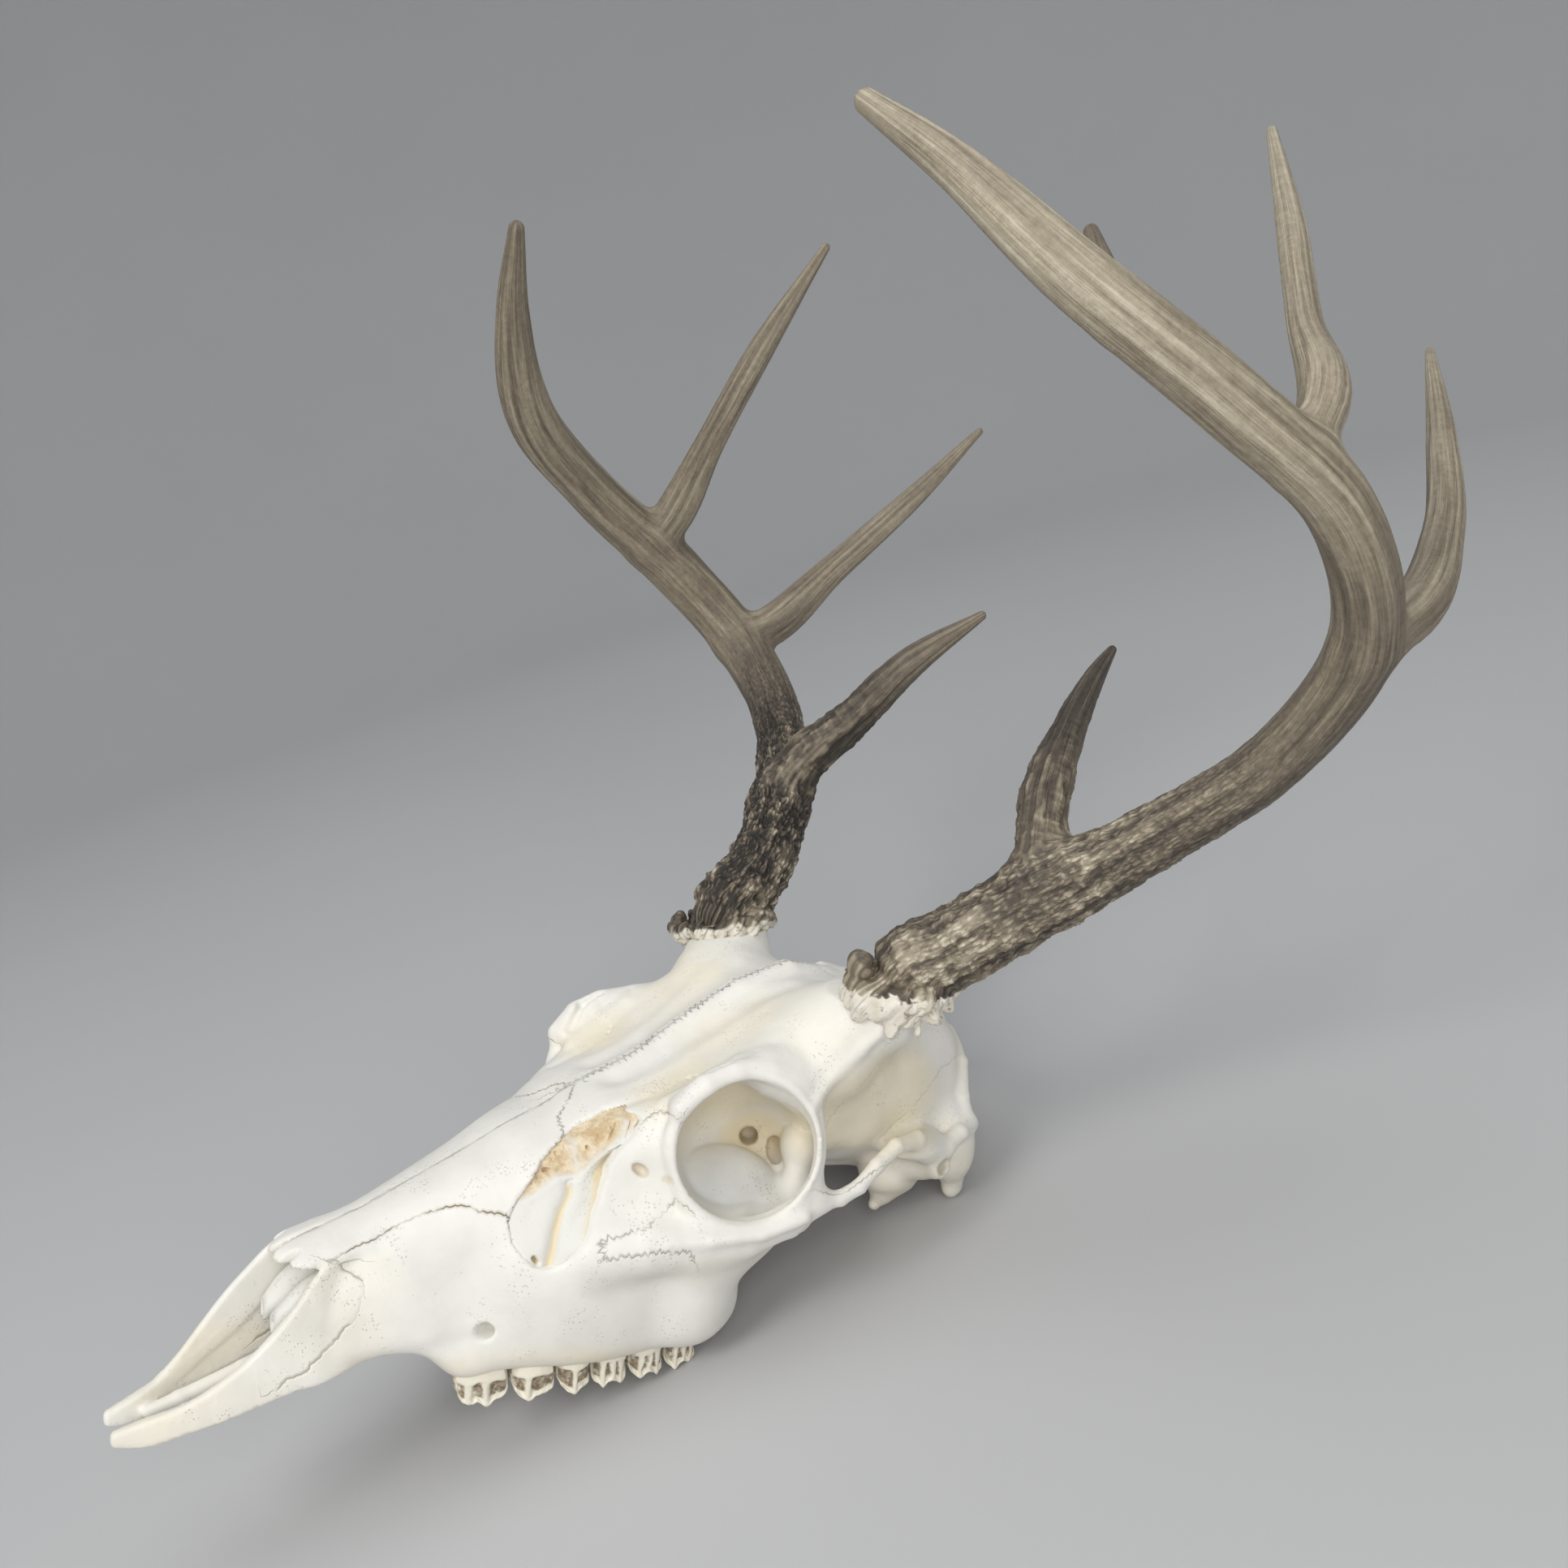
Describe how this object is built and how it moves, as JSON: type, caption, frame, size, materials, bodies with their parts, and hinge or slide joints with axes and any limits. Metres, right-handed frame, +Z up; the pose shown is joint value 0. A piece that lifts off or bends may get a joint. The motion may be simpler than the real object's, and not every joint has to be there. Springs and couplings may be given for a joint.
{
  "type": "white-tailed deer skull with antlers",
  "caption": "Cleaned skull of a buck with both antlers and the upper cheek teeth, without the lower jaw, lying as a loose skull rests on its teeth and the bony processes beside the neck joint.",
  "frame": {"origin": "middle of the bounding box, on the surface the skull rests on", "axes": "+Z up, -Y towards the tip of the nose, +X towards the deer's left"},
  "size_m": [0.3932, 0.4683, 0.356],
  "materials": {
    "bone": "cleaned and bleached bone, matt, with stained cheek teeth",
    "antler": "brown grooved antler with pale polished tips"
  },
  "bodies": {
    "root": {"antler_seat_left": "bone", "antler_seat_right": "bone", "braincase": "bone", "cheek_arch_left": "bone", "cheek_arch_right": "bone", "eye_socket_left": "bone", "eye_socket_right": "bone", "forehead": "bone", "jaw_left": "bone", "jaw_right": "bone", "nasal_left": "bone", "nasal_right": "bone", "occiput": "bone", "premaxilla_left": "bone", "premaxilla_right": "bone", "left_antler_base": "antler", "left_brow_tine": "antler", "left_lower_beam": "antler", "left_middle_beam": "antler", "left_second_tine": "antler", "left_third_tine": "antler", "left_upper_beam": "antler", "right_antler_base": "antler", "right_brow_tine": "antler", "right_lower_beam": "antler", "right_middle_beam": "antler", "right_second_tine": "antler", "right_third_tine": "antler", "right_upper_beam": "antler"}
  },
  "joints": []
}
